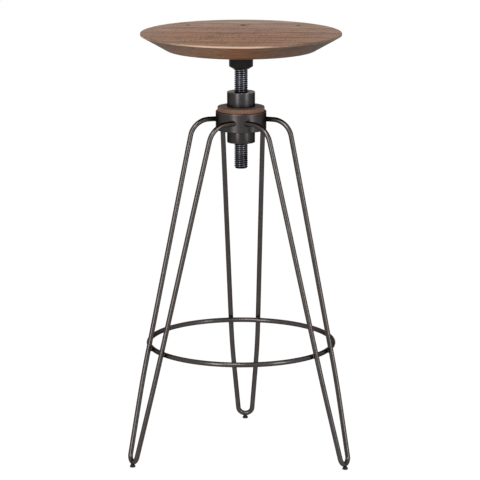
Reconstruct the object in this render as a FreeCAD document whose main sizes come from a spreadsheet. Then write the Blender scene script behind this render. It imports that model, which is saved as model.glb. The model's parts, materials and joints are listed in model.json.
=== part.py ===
"""Machinist stool: a round plank seat on a screw that turns in the nuts of a steel hub.

Three hairpin legs of bent rod plug into the hub, and a foot ring is welded inside them.
Lengths are in millimetres. The origin is on the floor, under the screw. +Z is up and the
back leg points along +Y.
"""

import FreeCAD, Part
import math
import os
import Sketcher
from FreeCAD import Placement, Rotation, Vector

# Driving sizes, in mm and degrees. Heights are above the floor.
SIZES = {
    # Plank seat, turned round and bevelled underneath
    "seat_diameter": 381.0,
    "board_thickness": 31.0,
    "board_width": 65.0,
    "board_easing": 1.0,
    "seat_bottom_diameter": 285.0,
    "rim_height": 3.6,
    "rim_rounding": 1.2,
    # Old nails left in the second board from the back
    "nail_head_diameter": 5.0,
    "nail_head_thickness": 1.0,
    "nail_shank_diameter": 2.8,
    "nail_length": 22.0,
    "nail_spacing": 106.0,
    "nail_setback": 25.0,
    # Steel plate under the boards, and its wood screws
    "plate_diameter": 130.0,
    "plate_thickness": 5.0,
    "plate_edge_chamfer": 1.0,
    "plate_hole_circle": 96.0,
    "plate_hole_clearance": 0.3,
    "wood_screw_head_diameter": 9.0,
    "wood_screw_head_height": 3.0,
    "wood_screw_diameter": 4.8,
    "wood_screw_length": 24.0,
    "wood_screw_point": 4.0,
    # Boss under the plate
    "boss_diameter": 45.5,
    "boss_height": 33.1,
    "boss_nose_diameter": 29.0,
    "boss_nose_height": 5.2,
    "boss_lift": 43.2,
    # Screw
    "screw_diameter": 25.4,
    "screw_length": 223.3,
    "screw_end_chamfer": 2.0,
    "thread_clearance": 0.06,
    # Round nuts, above and below the hub
    "nut_diameter": 53.2,
    "upper_nut_height": 28.4,
    "lower_nut_height": 24.7,
    "nut_rounding": 0.8,
    "nut_countersink": 1.2,
    # Hub and the washer on it
    "hub_diameter": 96.5,
    "hub_height": 35.8,
    "hub_rounding": 1.4,
    "hub_bore_clearance": 0.5,
    "washer_diameter": 89.7,
    "washer_thickness": 8.1,
    "washer_rounding": 0.8,
    # Hairpin legs of bent rod
    "rod_diameter": 9.5,
    "rod_height": 653.1,
    "socket_angle": 43.7,
    "socket_depth": 8.0,
    "socket_clearance": 0.1,
    "shoulder_reach": 80.7,
    "shoulder_spread": 39.6,
    "shoulder_bend": 38.0,
    "bow_height": 165.0,
    "bow_reach": 198.6,
    "bow_spread": 25.5,
    "bow_bend": 1700.0,
    "foot_reach": 234.0,
    "foot_bend": 14.0,
    # Foot ring and its welds
    "ring_height": 219.0,
    "weld_gap": 0.2,
    "weld_diameter": 9.6,
    # Glides under the feet
    "glide_diameter": 11.0,
    "glide_height": 5.5,
    "glide_edge_height": 1.4,
    "glide_neck_diameter": 6.0,
}

# Feet are evenly spaced, counter-clockwise seen from above, from the back one on +Y
LEG_NAMES = ("back", "left", "right")
LEG_DIRECTIONS = {name: 90 + 360 * n / len(LEG_NAMES) for n, name in enumerate(LEG_NAMES)}
PLATE_SCREW_COUNT = 4
NAIL_COUNT = 3
WHOLE_BOARD_COUNT = 4

# Whole boards lie evenly to both sides of the middle, so the first seam is half of them behind it
FIRST_SEAM = f"({WHOLE_BOARD_COUNT / 2} * sizes.board_width)"

# How far a cutting shape runs past what it cuts
OVERRUN = 2.0

# Heights of the stack, from the hub up to the boards
HUB_BOTTOM = "(sizes.rod_height - sizes.hub_height / 2)"
HUB_TOP = "(sizes.rod_height + sizes.hub_height / 2)"
WASHER_TOP = f"({HUB_TOP} + sizes.washer_thickness)"
UPPER_NUT_TOP = f"({WASHER_TOP} + sizes.upper_nut_height)"
BOSS_BOTTOM = f"({UPPER_NUT_TOP} + sizes.boss_lift)"
PLATE_BOTTOM = f"({BOSS_BOTTOM} + sizes.boss_height)"
SEAT_BOTTOM = f"({PLATE_BOTTOM} + sizes.plate_thickness)"
SEAT_TOP = f"({SEAT_BOTTOM} + sizes.board_thickness)"

SCREW_RADIUS = "sizes.screw_diameter / 2"
THREADED_BORE = f"({SCREW_RADIUS} + sizes.thread_clearance)"

# Where the points of a sketch start, before their own sizes move them
START_CENTRE = Vector(60, 60, 0)
START_RADIUS = 50.0

doc = FreeCAD.newDocument("machinist_stool")
sheet = doc.addObject("Spreadsheet::Sheet", "sizes")
for row, (size_name, size_value) in enumerate(SIZES.items(), start=1):
    sheet.set(f"A{row}", size_name)
    sheet.set(f"B{row}", str(size_value))
    sheet.setAlias(f"B{row}", size_name)
doc.recompute()


def size(name):
    """Value of a driving size, read back from the sheet."""
    return float(sheet.get(name))


def new_body(label):
    """Empty body under a label of its own."""
    body = doc.addObject("PartDesign::Body", label)
    body.Label = label
    return body


def new_sketch(body, plane, name):
    """Sketch on one of the body's own origin planes, such as XZ_Plane."""
    sketch = body.newObject("Sketcher::SketchObject", name)
    support = next(item for item in body.Origin.OriginFeatures if item.Role == plane)
    sketch.AttachmentSupport = [(support, "")]
    sketch.MapMode = "FlatFace"
    return sketch


def constrain(sketch, constraint, expression):
    """Add a dimension to a sketch and bind it to the sheet."""
    index = sketch.addConstraint(constraint)
    sketch.setExpression(f"Constraints[{index}]", expression)


def add_circle(sketch, diameter, across="0", up="0"):
    """Circle of a bound diameter, at a bound place unless that is the sketch's origin."""
    start = Part.Circle(Vector(0, 0, 0), Vector(0, 0, 1), START_RADIUS)
    circle = sketch.addGeometry(start, False)
    constrain(sketch, Sketcher.Constraint("Diameter", circle, 2 * START_RADIUS), diameter)
    if across == "0" and up == "0":
        sketch.addConstraint(Sketcher.Constraint("Coincident", circle, 3, -1, 1))
        return
    constrain(sketch, Sketcher.Constraint("DistanceX", -1, 1, circle, 3, START_RADIUS), across)
    constrain(sketch, Sketcher.Constraint("DistanceY", -1, 1, circle, 3, START_RADIUS), up)


def add_outline(sketch, corners):
    """Closed outline of straight sides; each corner is a pair of expressions, across and up."""
    count = len(corners)
    turns = [math.tau * index / count for index in range(count)]
    spread = [Vector(math.cos(turn), math.sin(turn), 0) * START_RADIUS for turn in turns]
    start = [START_CENTRE + away for away in spread]
    for index in range(count):
        side = Part.LineSegment(start[index], start[(index + 1) % count])
        sketch.addGeometry(side, False)
    for index in range(count):
        following = (index + 1) % count
        sketch.addConstraint(Sketcher.Constraint("Coincident", index, 2, following, 1))
    for index, (across, up) in enumerate(corners):
        if across == "0":
            sketch.addConstraint(Sketcher.Constraint("PointOnObject", index, 1, -2))
        else:
            right = Sketcher.Constraint("DistanceX", -1, 1, index, 1, START_RADIUS)
            constrain(sketch, right, across)
        if up == "0":
            sketch.addConstraint(Sketcher.Constraint("PointOnObject", index, 1, -1))
        else:
            height = Sketcher.Constraint("DistanceY", -1, 1, index, 1, START_RADIUS)
            constrain(sketch, height, up)


def place(thing, across="0", back="0", up="0"):
    """Bind where an object stands to the sheet."""
    thing.setExpression("Placement.Base.x", across)
    thing.setExpression("Placement.Base.y", back)
    thing.setExpression("Placement.Base.z", up)


def pad(body, sketch, length):
    """Pad a sketch up from its plane by a bound length."""
    feature = body.newObject("PartDesign::Pad", "pad")
    feature.Profile = sketch
    feature.setExpression("Length", length)
    sketch.Visibility = False
    return feature


def turned_body(label, corners):
    """Body turned about its own Z axis from a half outline of radius and height."""
    body = new_body(label)
    sketch = new_sketch(body, "XZ_Plane", "half_outline")
    add_outline(sketch, corners)
    turning = body.newObject("PartDesign::Revolution", "turning")
    turning.Profile = sketch
    turning.ReferenceAxis = (sketch, ["V_Axis"])
    turning.Angle = 360.0
    return body


def round_edges(body, feature, radius, chosen):
    """Round the edges that a test picks with a bound radius."""
    doc.recompute()
    names = [f"Edge{n}" for n, edge in enumerate(feature.Shape.Edges, start=1) if chosen(edge)]
    fillet = body.newObject("PartDesign::Fillet", "rounding")
    fillet.Base = (feature, names)
    fillet.setExpression("Radius", radius)
    return fillet


def is_circle(edge, radius):
    """Whether an edge is a full circle of about this radius."""
    return isinstance(edge.Curve, Part.Circle) and abs(edge.Curve.Radius - radius) < 0.01


def boolean(kind, label, base, tool):
    """Part::Cut or Part::Common of two objects, under a label of its own."""
    result = doc.addObject(kind, label)
    result.Label = label
    result.Base = base
    result.Tool = tool
    return result


def group(label, members):
    """Several separate solids as one object."""
    compound = doc.addObject("Part::Compound", label)
    compound.Label = label
    compound.Links = members
    return compound


def bent_path(points, bends):
    """Edges along a rod's centre line: straight runs joined by tangent arcs.

    Each inner point is a corner, and its bend radius is in the same order in bends.
    """
    edges = []
    run_start = points[0]
    for index, radius in enumerate(bends, start=1):
        corner = points[index]
        back = (points[index - 1] - corner).normalize()
        ahead = (points[index + 1] - corner).normalize()
        half_opening = back.getAngle(ahead) / 2
        tangent = radius / math.tan(half_opening)
        towards_centre = (back + ahead).normalize()
        middle = corner + towards_centre * (radius / math.sin(half_opening) - radius)
        arc_start = corner + back * tangent
        arc_end = corner + ahead * tangent
        edges.append(Part.LineSegment(run_start, arc_start).toShape())
        edges.append(Part.Arc(arc_start, middle, arc_end).toShape())
        run_start = arc_end
    edges.append(Part.LineSegment(run_start, points[-1]).toShape())
    return edges


def socket_mouth():
    """Where a rod's centre line meets the hub, in the leg's own frame: reach, spread, height."""
    angle = math.radians(size("socket_angle"))
    radius = size("hub_diameter") / 2
    return Vector(radius * math.cos(angle), radius * math.sin(angle), size("rod_height"))


def shoulder_corner():
    """Corner where a rod turns from the hub down to the foot, in the leg's own frame."""
    return Vector(size("shoulder_reach"), size("shoulder_spread"), size("rod_height"))


def socket_floor():
    """Where a rod ends inside the hub, in the leg's own frame."""
    inwards = (socket_mouth() - shoulder_corner()).normalize()
    return socket_mouth() + inwards * size("socket_depth")


def foot_height():
    """Height of the rod's centre line at the lowest point of a foot."""
    return size("glide_height") + size("rod_diameter") / 2


def half_leg_path():
    """Path of half a hairpin, from the hub to the start of the foot's bend."""
    bow = Vector(size("bow_reach"), size("bow_spread"), size("bow_height"))
    foot = Vector(size("foot_reach"), 0, foot_height())
    bend = size("foot_bend")
    rise = (Vector(bow.x, 0, bow.z) - foot).normalize()
    bend_centre = foot + rise * bend
    up_to_bow = (bow - bend_centre).dot(rise)
    distance = math.hypot(bow.y, up_to_bow)
    turn = math.atan2(up_to_bow, bow.y) - math.acos(bend / distance)
    touch = bend_centre + Vector(0, bend * math.cos(turn), 0) + rise * (bend * math.sin(turn))
    points = [socket_floor(), shoulder_corner(), bow, touch]
    return bent_path(points, [size("shoulder_bend"), size("bow_bend")]), foot, touch


def hairpin_path():
    """Whole centre line of a hairpin leg, in the leg's own frame."""
    half, foot, touch = half_leg_path()
    mirrored = [edge.mirror(Vector(0, 0, 0), Vector(0, 1, 0)) for edge in half]
    other_touch = Vector(touch.x, -touch.y, touch.z)
    foot_arc = Part.Arc(touch, foot, other_touch).toShape()
    return Part.Wire(half + [foot_arc] + mirrored[::-1])


def turned_about_screw(direction):
    """Placement that swings a leg's own frame round to its foot direction."""
    return Placement(Vector(0, 0, 0), Rotation(Vector(0, 0, 1), direction))


def make_leg(name, direction):
    """Hairpin leg: one rod swept from socket to foot and back."""
    path = doc.addObject("Part::Feature", f"leg_path_{name}")
    path.Shape = hairpin_path()
    path.Placement = turned_about_screw(direction)
    section = doc.addObject("Part::Circle", f"rod_section_{name}")
    section.setExpression("Radius", "sizes.rod_diameter / 2")
    along = shoulder_corner() - socket_floor()
    facing = Placement(socket_floor(), Rotation(Vector(0, 0, 1), along))
    section.Placement = turned_about_screw(direction).multiply(facing)
    leg = doc.addObject("Part::Sweep", f"leg_{name}")
    leg.Label = f"leg_{name}"
    leg.Sections = [section]
    leg.Spine = (path, [f"Edge{n}" for n in range(1, len(path.Shape.Edges) + 1)])
    leg.Solid = True
    leg.Frenet = False
    return leg


def make_hub():
    """Turned steel hub, bored for the screw, with a drilled socket for each rod end."""
    body = new_body("hub_turning")
    sketch = new_sketch(body, "XY_Plane", "rings")
    add_circle(sketch, "sizes.hub_diameter")
    add_circle(sketch, "sizes.screw_diameter + 2 * sizes.hub_bore_clearance")
    blank = pad(body, sketch, "sizes.hub_height")
    outer = size("hub_diameter") / 2
    round_edges(body, blank, "sizes.hub_rounding", lambda edge: is_circle(edge, outer))
    place(body, up=HUB_BOTTOM)
    drills = []
    for name, direction in LEG_DIRECTIONS.items():
        for side in (1, -1):
            drill = doc.addObject("Part::Cylinder", f"socket_{name}")
            drill.setExpression("Radius", "sizes.rod_diameter / 2 + sizes.socket_clearance")
            drill.setExpression("Height", "sizes.hub_diameter / 2 + sizes.socket_depth")
            floor, corner = socket_floor(), shoulder_corner()
            start = Vector(floor.x, side * floor.y, floor.z)
            along = Vector(corner.x - floor.x, side * (corner.y - floor.y), 0)
            facing = Placement(start, Rotation(Vector(0, 0, 1), along))
            drill.Placement = turned_about_screw(direction).multiply(facing)
            drills.append(drill)
    return boolean("Part::Cut", "hub", body, group("socket_drills", drills))


def make_washer():
    """Flat round washer between the hub and the upper nut."""
    body = new_body("top_washer")
    sketch = new_sketch(body, "XY_Plane", "rings")
    add_circle(sketch, "sizes.washer_diameter")
    add_circle(sketch, "sizes.screw_diameter + 2 * sizes.hub_bore_clearance")
    blank = pad(body, sketch, "sizes.washer_thickness")
    outer = size("washer_diameter") / 2

    def is_top_rim(edge):
        return is_circle(edge, outer) and edge.CenterOfMass.z > size("washer_thickness") / 2

    round_edges(body, blank, "sizes.washer_rounding", is_top_rim)
    place(body, up=HUB_TOP)
    return body


def make_nut(label, height):
    """Round nut turned from bar, its bore countersunk at both ends."""
    mouth = f"({THREADED_BORE} + sizes.nut_countersink)"
    outer = "sizes.nut_diameter / 2"
    outline = [
        (mouth, "0"),
        (outer, "0"),
        (outer, height),
        (mouth, height),
        (THREADED_BORE, f"{height} - sizes.nut_countersink"),
        (THREADED_BORE, "sizes.nut_countersink"),
    ]
    body = turned_body(label, outline)
    rim = size("nut_diameter") / 2
    round_edges(body, body.Tip, "sizes.nut_rounding", lambda edge: is_circle(edge, rim))
    return body


def make_screw():
    """Lifting screw at its major diameter, with a chamfered lower end."""
    tip = f"({SCREW_RADIUS} - sizes.screw_end_chamfer)"
    outline = [
        ("0", "0"),
        (tip, "0"),
        (SCREW_RADIUS, "sizes.screw_end_chamfer"),
        (SCREW_RADIUS, "sizes.screw_length"),
        ("0", "sizes.screw_length"),
    ]
    screw = turned_body("screw", outline)
    place(screw, up=f"{PLATE_BOTTOM} - sizes.screw_length")
    return screw


def make_boss():
    """Round boss between the screw and the seat plate, with a coned nose."""
    outline = [
        (THREADED_BORE, "0"),
        ("sizes.boss_nose_diameter / 2", "0"),
        ("sizes.boss_diameter / 2", "sizes.boss_nose_height"),
        ("sizes.boss_diameter / 2", "sizes.boss_height"),
        (THREADED_BORE, "sizes.boss_height"),
    ]
    boss = turned_body("boss", outline)
    place(boss, up=BOSS_BOTTOM)
    return boss


def plate_screw_place(index):
    """Across and back of a wood screw on the plate's hole circle, the first half a step round."""
    turn = 360 * (index + 0.5) / PLATE_SCREW_COUNT
    radius = "sizes.plate_hole_circle / 2"
    return f"{radius} * cos({turn})", f"{radius} * sin({turn})"


def make_plate():
    """Round steel plate under the boards, with a circle of screw holes."""
    edge = "(sizes.plate_diameter / 2 - sizes.plate_edge_chamfer)"
    outline = [
        ("0", "0"),
        (edge, "0"),
        ("sizes.plate_diameter / 2", "sizes.plate_edge_chamfer"),
        ("sizes.plate_diameter / 2", "sizes.plate_thickness"),
        ("0", "sizes.plate_thickness"),
    ]
    body = turned_body("seat_plate", outline)
    sketch = new_sketch(body, "XY_Plane", "screw_hole")
    diameter = "sizes.wood_screw_diameter + 2 * sizes.plate_hole_clearance"
    add_circle(sketch, diameter, *plate_screw_place(0))
    hole = body.newObject("PartDesign::Pocket", "hole")
    hole.Profile = sketch
    hole.Type = "ThroughAll"
    hole.Midplane = True
    pattern = body.newObject("PartDesign::PolarPattern", "hole_circle")
    pattern.Originals = [hole]
    pattern.Axis = (sketch, ["N_Axis"])
    pattern.Angle = 360.0
    pattern.Occurrences = PLATE_SCREW_COUNT
    body.Tip = pattern
    place(body, up=PLATE_BOTTOM)
    return body


def make_plate_screws():
    """Wood screws up through the plate into the boards, heads under the plate."""
    head = "sizes.wood_screw_head_diameter / 2"
    shank = "sizes.wood_screw_diameter / 2"
    under_head = "sizes.wood_screw_head_height"
    end = "(sizes.wood_screw_head_height + sizes.wood_screw_length)"
    outline = [
        ("0", "0"),
        (f"{head} / 2", "0"),
        (head, f"{under_head} / 2"),
        (head, under_head),
        (shank, under_head),
        (shank, f"{end} - sizes.wood_screw_point"),
        ("0", end),
    ]
    screws = []
    for index in range(PLATE_SCREW_COUNT):
        screw = turned_body(f"plate_screw_{index + 1}", outline)
        head_bottom = f"{PLATE_BOTTOM} - sizes.wood_screw_head_height"
        place(screw, *plate_screw_place(index), head_bottom)
        screws.append(screw)
    return group("plate_screws", screws)


def make_nails():
    """Old nails driven flush into the second board from the back."""
    head = "sizes.nail_head_diameter / 2"
    shank = "sizes.nail_shank_diameter / 2"
    under_head = "(sizes.nail_length - sizes.nail_head_thickness)"
    outline = [
        ("0", "0"),
        (shank, "0"),
        (shank, under_head),
        (head, under_head),
        (head, "sizes.nail_length"),
        ("0", "sizes.nail_length"),
    ]
    nails = []
    for index in range(NAIL_COUNT):
        nail = turned_body(f"nail_{index + 1}", outline)
        across = f"{index - (NAIL_COUNT - 1) / 2} * sizes.nail_spacing"
        place(nail, across, f"{FIRST_SEAM} - sizes.nail_setback", f"{SEAT_TOP} - sizes.nail_length")
        nails.append(nail)
    return group("old_nails", nails)


def make_seat_form():
    """Shape that the glued boards are turned to: flat top, short rim, bevelled underside."""
    rim = "sizes.seat_diameter / 2"
    outline = [
        ("0", "0"),
        ("sizes.seat_bottom_diameter / 2", "0"),
        (rim, "(sizes.board_thickness - sizes.rim_height)"),
        (rim, "sizes.board_thickness"),
        ("0", "sizes.board_thickness"),
    ]
    body = turned_body("seat_form", outline)
    radius = size("seat_diameter") / 2
    turning = body.Tip
    round_edges(body, turning, "sizes.rim_rounding", lambda edge: is_circle(edge, radius))
    place(body, up=SEAT_BOTTOM)
    return body


def make_plank(number, rear_edge, front_edge):
    """Straight plank between two edges, with its top corners eased; edges are expressions."""
    body = new_body(f"plank_{number}")
    sketch = new_sketch(body, "YZ_Plane", "plank_section")
    width = f"(({rear_edge}) - ({front_edge}))"
    shoulder = f"({OVERRUN} + sizes.board_thickness - sizes.board_easing)"
    top = f"({2 * OVERRUN} + sizes.board_thickness)"
    slope = f"(sizes.board_easing + {OVERRUN})"
    corners = [
        ("0", "0"),
        (width, "0"),
        (width, shoulder),
        (f"{width} - {slope}", top),
        (slope, top),
        ("0", shoulder),
    ]
    add_outline(sketch, corners)
    pad(body, sketch, f"sizes.seat_diameter + {2 * OVERRUN}")
    across = f"-sizes.seat_diameter / 2 - {OVERRUN}"
    place(body, across, front_edge, f"{SEAT_BOTTOM} - {OVERRUN}")
    return body


def make_boards(fasteners):
    """Boards of the seat, numbered from the back, each bored for its own fasteners."""
    form = make_seat_form()
    radius = "sizes.seat_diameter / 2"
    seams = [f"({FIRST_SEAM} - {index} * sizes.board_width)" for index in range(WHOLE_BOARD_COUNT + 1)]
    edges = [f"({radius} + {OVERRUN})"] + seams + [f"(-{radius} - {OVERRUN})"]
    boards = []
    for number, (rear_edge, front_edge) in enumerate(zip(edges, edges[1:]), start=1):
        plank = make_plank(number, rear_edge, front_edge)
        turned = boolean("Part::Common", f"turned_board_{number}", form, plank)
        boards.append(boolean("Part::Cut", f"board_{number}", turned, fasteners))
    return boards


def ring_radius():
    """Centre-line radius at which the ring lies inside the legs, a weld's gap away."""
    shoulder = shoulder_corner()
    bow = Vector(size("bow_reach"), size("bow_spread"), size("bow_height"))
    along = (shoulder - bow).normalize()
    crossing = bow + along * ((size("ring_height") - bow.z) / along.z)
    radius = math.hypot(crossing.x, crossing.y)
    outwards = Vector(crossing.x / radius, crossing.y / radius, 0)
    tangent = Vector(-outwards.y, outwards.x, 0)
    between = along.cross(tangent).normalize()
    spacing = (size("rod_diameter") + size("weld_gap")) / abs(between.dot(outwards))
    return radius - spacing, crossing, between


def make_foot_ring():
    """Round foot ring of the same rod as the legs."""
    radius, _, _ = ring_radius()
    ring = doc.addObject("Part::Torus", "foot_ring")
    ring.Label = "foot_ring"
    ring.Radius1 = radius
    ring.setExpression("Radius2", "sizes.rod_diameter / 2")
    place(ring, up="sizes.ring_height")
    return ring


def make_ring_welds(ring, legs):
    """Weld beads that join the ring to each of the six rods, filling round the contact."""
    radius, crossing, between = ring_radius()
    outwards = Vector(crossing.x, crossing.y, 0).normalize()
    if between.dot(outwards) < 0:
        between = -between
    ring_centre = Vector(outwards.x * radius, outwards.y * radius, size("ring_height"))
    contact = ring_centre + between * ((size("rod_diameter") + size("weld_gap")) / 2)
    beads = []
    for name, direction in LEG_DIRECTIONS.items():
        for side in (1, -1):
            bead = doc.addObject("Part::Sphere", f"weld_{name}")
            bead.setExpression("Radius", "sizes.weld_diameter / 2")
            centre = Placement(Vector(contact.x, side * contact.y, contact.z), Rotation())
            bead.Placement = turned_about_screw(direction).multiply(centre)
            beads.append(bead)
    rods = group("welded_rods", [ring] + legs)
    return boolean("Part::Cut", "ring_welds", group("weld_beads", beads), rods)


def make_glide(name, direction, leg):
    """Flared glide under a foot, its neck shaped to the rod."""
    neck = "sizes.glide_neck_diameter / 2"
    neck_top = "(sizes.glide_height + sizes.rod_diameter / 2)"
    outline = [
        ("0", "0"),
        ("sizes.glide_diameter / 2", "0"),
        ("sizes.glide_diameter / 2", "sizes.glide_edge_height"),
        (neck, "sizes.glide_height"),
        (neck, neck_top),
        ("0", neck_top),
    ]
    blank = turned_body(f"glide_blank_{name}", outline)
    across = f"sizes.foot_reach * cos({direction})"
    back = f"sizes.foot_reach * sin({direction})"
    place(blank, across, back)
    return boolean("Part::Cut", f"glide_{name}", blank, leg)


legs = {name: make_leg(name, direction) for name, direction in LEG_DIRECTIONS.items()}
ring = make_foot_ring()
upper_nut = make_nut("upper_nut", "sizes.upper_nut_height")
place(upper_nut, up=WASHER_TOP)
lower_nut = make_nut("lower_nut", "sizes.lower_nut_height")
place(lower_nut, up=f"{HUB_BOTTOM} - sizes.lower_nut_height")
plate_screws = make_plate_screws()
nails = make_nails()

pieces = [make_hub(), make_washer(), upper_nut, lower_nut]
pieces += list(legs.values())
pieces += [ring, make_ring_welds(ring, list(legs.values()))]
pieces += [make_glide(name, LEG_DIRECTIONS[name], leg) for name, leg in legs.items()]
pieces += [make_screw(), make_boss(), make_plate(), plate_screws, nails]
pieces += make_boards(group("seat_fasteners", [plate_screws, nails]))
doc.recompute()

for item in doc.Objects:
    if "Invalid" in item.State or "Error" in item.State:
        raise RuntimeError(f"{item.Label} could not be built: {item.State}")

os.makedirs("parts", exist_ok=True)
for piece in pieces:
    shape = piece.Shape
    if shape.isNull() or not shape.isValid() or not shape.Solids:
        raise RuntimeError(f"{piece.Label} is not a valid solid")
    shape.exportStep(f"parts/{piece.Label}.step")
    print(f"{piece.Label}: {len(shape.Solids)} solid(s), {shape.Volume / 1000:.2f} cm3")
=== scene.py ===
"""Machinist stool, dressed for its photograph.

Old sawn boards turned to a round seat sit on a black screw, which turns in the nuts of a
blackened hub. Three hairpin legs of hot-rolled bar plug into the hub, and a ring of the same
bar ties them together. The assembly classes give sizes in millimetres, as a maker writes them.
The finished meshes are in metres, in the stool's own frame: the floor is z = 0, the screw
stands on the z axis and the back leg points along +Y.
"""

import json
import logging
import math
from abc import ABC, abstractmethod
from dataclasses import dataclass
from enum import Enum
from functools import cached_property
from typing import Any

import bmesh
import bpy
from mathutils import Matrix, Vector, noise


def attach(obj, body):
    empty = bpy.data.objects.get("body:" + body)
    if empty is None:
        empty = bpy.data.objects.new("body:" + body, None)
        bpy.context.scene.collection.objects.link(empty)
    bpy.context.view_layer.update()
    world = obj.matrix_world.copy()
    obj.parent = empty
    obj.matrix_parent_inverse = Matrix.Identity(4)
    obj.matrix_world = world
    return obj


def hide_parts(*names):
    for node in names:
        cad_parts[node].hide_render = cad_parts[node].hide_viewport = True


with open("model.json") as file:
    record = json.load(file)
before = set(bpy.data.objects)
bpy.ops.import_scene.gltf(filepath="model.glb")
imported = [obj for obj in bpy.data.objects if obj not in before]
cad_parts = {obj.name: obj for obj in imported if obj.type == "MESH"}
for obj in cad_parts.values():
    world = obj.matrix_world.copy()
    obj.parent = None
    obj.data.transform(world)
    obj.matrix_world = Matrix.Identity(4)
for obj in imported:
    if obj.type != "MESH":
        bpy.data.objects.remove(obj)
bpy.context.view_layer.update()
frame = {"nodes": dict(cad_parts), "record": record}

log = logging.getLogger("machinist_stool")

METRES_PER_MM = 0.001

# Socket numbers of a Mix node that mixes colours
AMOUNT, UNDER, OVER, MIXED = 0, 6, 7, 2

Tree = bpy.types.NodeTree
Socket = bpy.types.NodeSocket
Shape = bmesh.types.BMesh
Pair = tuple[float, float]
Triple = tuple[float, float, float]


class Body(Enum):
    """Moving body that a piece rides on."""

    BASE = "base"
    SEAT = "seat"


class Measure(Enum):
    """What the pale edge of a finish is measured along."""

    RADIUS = "distance from the screw's axis"
    HEIGHT = "height above the floor"


class Slot(Enum):
    """Material slot of the record, kept with each piece."""

    AGED_WOOD = "aged_wood"
    ROD_STEEL = "rod_steel"
    BLACKENED_STEEL = "blackened_steel"
    OILED_SCREW_STEEL = "oiled_screw_steel"
    RUSTY_WASHER = "rusty_washer"
    WOOD_SCREW_STEEL = "wood_screw_steel"
    OLD_IRON = "old_iron"
    GLIDE_RUBBER = "glide_rubber"


def linear(hex_colour: str) -> tuple[float, float, float, float]:
    """Turn an sRGB hex colour into the linear colour that a shader takes.

    Args:
        hex_colour: colour such as "#8a6b52".

    Returns:
        Linear red, green and blue with an alpha of 1.
    """
    channels = [int(hex_colour[start : start + 2], 16) / 255 for start in (1, 3, 5)]
    red, green, blue = [c / 12.92 if c <= 0.04045 else ((c + 0.055) / 1.055) ** 2.4 for c in channels]
    return red, green, blue, 1.0


def add_node(
    tree: Tree, kind: str, sockets: dict[str | int, Any] | None = None, **settings: Any
) -> bpy.types.Node:
    """Add a node, with its settings, and fill or link its input sockets.

    Args:
        tree: node tree that gets the node.
        kind: type of shader node, such as "Mix".
        sockets: input sockets by name or number, each with a value or an output socket.
        settings: the node's own settings; "stops" gives a ramp's positions and hex colours.

    Returns:
        The new node.
    """
    node = tree.nodes.new(f"ShaderNode{kind}")
    for name, value in settings.items():
        if name != "stops":
            setattr(node, name, value)
            continue
        stops = node.color_ramp.elements
        while len(stops) < len(value):
            stops.new(1.0)
        for stop, (position, hex_colour) in zip(stops, value):
            stop.position = position
            stop.color = linear(hex_colour)
    for name, value in (sockets or {}).items():
        if isinstance(value, Socket):
            tree.links.new(value, node.inputs[name])
        else:
            node.inputs[name].default_value = value
    return node


# Finishes


@dataclass(frozen=True)
class Share:
    """A share that goes from none to full while a value goes from one number to another."""

    value: Socket
    none_at: float
    full_at: float
    none: float = 0.0
    full: float = 1.0
    smooth: bool = False


class Place:
    """Place of the shaded point on the stool, in millimetres, and the node tree that works it out."""

    def __init__(self, tree: Tree) -> None:
        """Add the nodes that give the place.

        Args:
            tree: empty node tree of a material.
        """
        self.tree = tree
        sockets = {0: add_node(tree, "TexCoord").outputs["Object"], "Scale": 1 / METRES_PER_MM}
        self.point = add_node(tree, "VectorMath", sockets, operation="SCALE").outputs["Vector"]

    @cached_property
    def axes(self) -> bpy.types.NodeOutputs:
        """Sockets "X", "Y" and "Z" of the place."""
        return add_node(self.tree, "SeparateXYZ", {"Vector": self.point}).outputs

    @cached_property
    def radius(self) -> Socket:
        """Distance from the screw's axis."""
        return self.length(self.axes["X"], self.axes["Y"])

    def length(self, across: Socket, along: Socket) -> Socket:
        """Return the length of the offset that goes this far across and this far along."""
        offset = {0: add_node(self.tree, "CombineXYZ", {"X": across, "Y": along}).outputs["Vector"]}
        return add_node(self.tree, "VectorMath", offset, operation="LENGTH").outputs["Value"]

    def pattern(
        self,
        sizes_mm: Triple,
        detail: float,
        roughness: float = 0.5,
        distortion: float = 0.0,
        shift: float = 0.0,
    ) -> Socket:
        """Add a cloudy pattern.

        Args:
            sizes_mm: size of its features along each axis.
            detail: how many finer layers it has.
            roughness: strength of the finer layers.
            distortion: how much it is warped.
            shift: how far it is moved across and along, in features.

        Returns:
            Output socket with the pattern, from 0 to 1.
        """
        scale = tuple(1 / size for size in sizes_mm)
        sockets = {"Vector": self.point, "Location": (shift, shift, 0.0), "Scale": scale}
        sized = add_node(self.tree, "Mapping", sockets).outputs["Vector"]
        sockets = {"Vector": sized, "Scale": 1.0, "Detail": detail}
        sockets |= {"Roughness": roughness, "Distortion": distortion}
        return add_node(self.tree, "TexNoise", sockets).outputs["Fac"]

    def laid_over(self, under: Socket, over: Socket | str, *shares: Share, blend: str = "MIX") -> Socket:
        """Lay one colour over another, as strongly as the product of the shares.

        Args:
            under: colour below.
            over: colour above, as a socket or in hex.
            shares: shares that are multiplied with each other.
            blend: how the colours blend.

        Returns:
            The colour's output socket.
        """
        amount = 1.0
        for share in shares:
            sockets = {"Value": share.value, "From Min": share.none_at, "From Max": share.full_at}
            sockets |= {"To Min": share.none, "To Max": share.full}
            ease = "SMOOTHSTEP" if share.smooth else "LINEAR"
            ranged = add_node(self.tree, "MapRange", sockets, interpolation_type=ease).outputs["Result"]
            factors = {0: ranged, 1: amount}
            amount = add_node(self.tree, "Math", factors, operation="MULTIPLY").outputs["Value"]
        sockets = {AMOUNT: amount, UNDER: under, OVER: linear(over) if isinstance(over, str) else over}
        return add_node(self.tree, "Mix", sockets, data_type="RGBA", blend_type=blend).outputs[MIXED]


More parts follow.
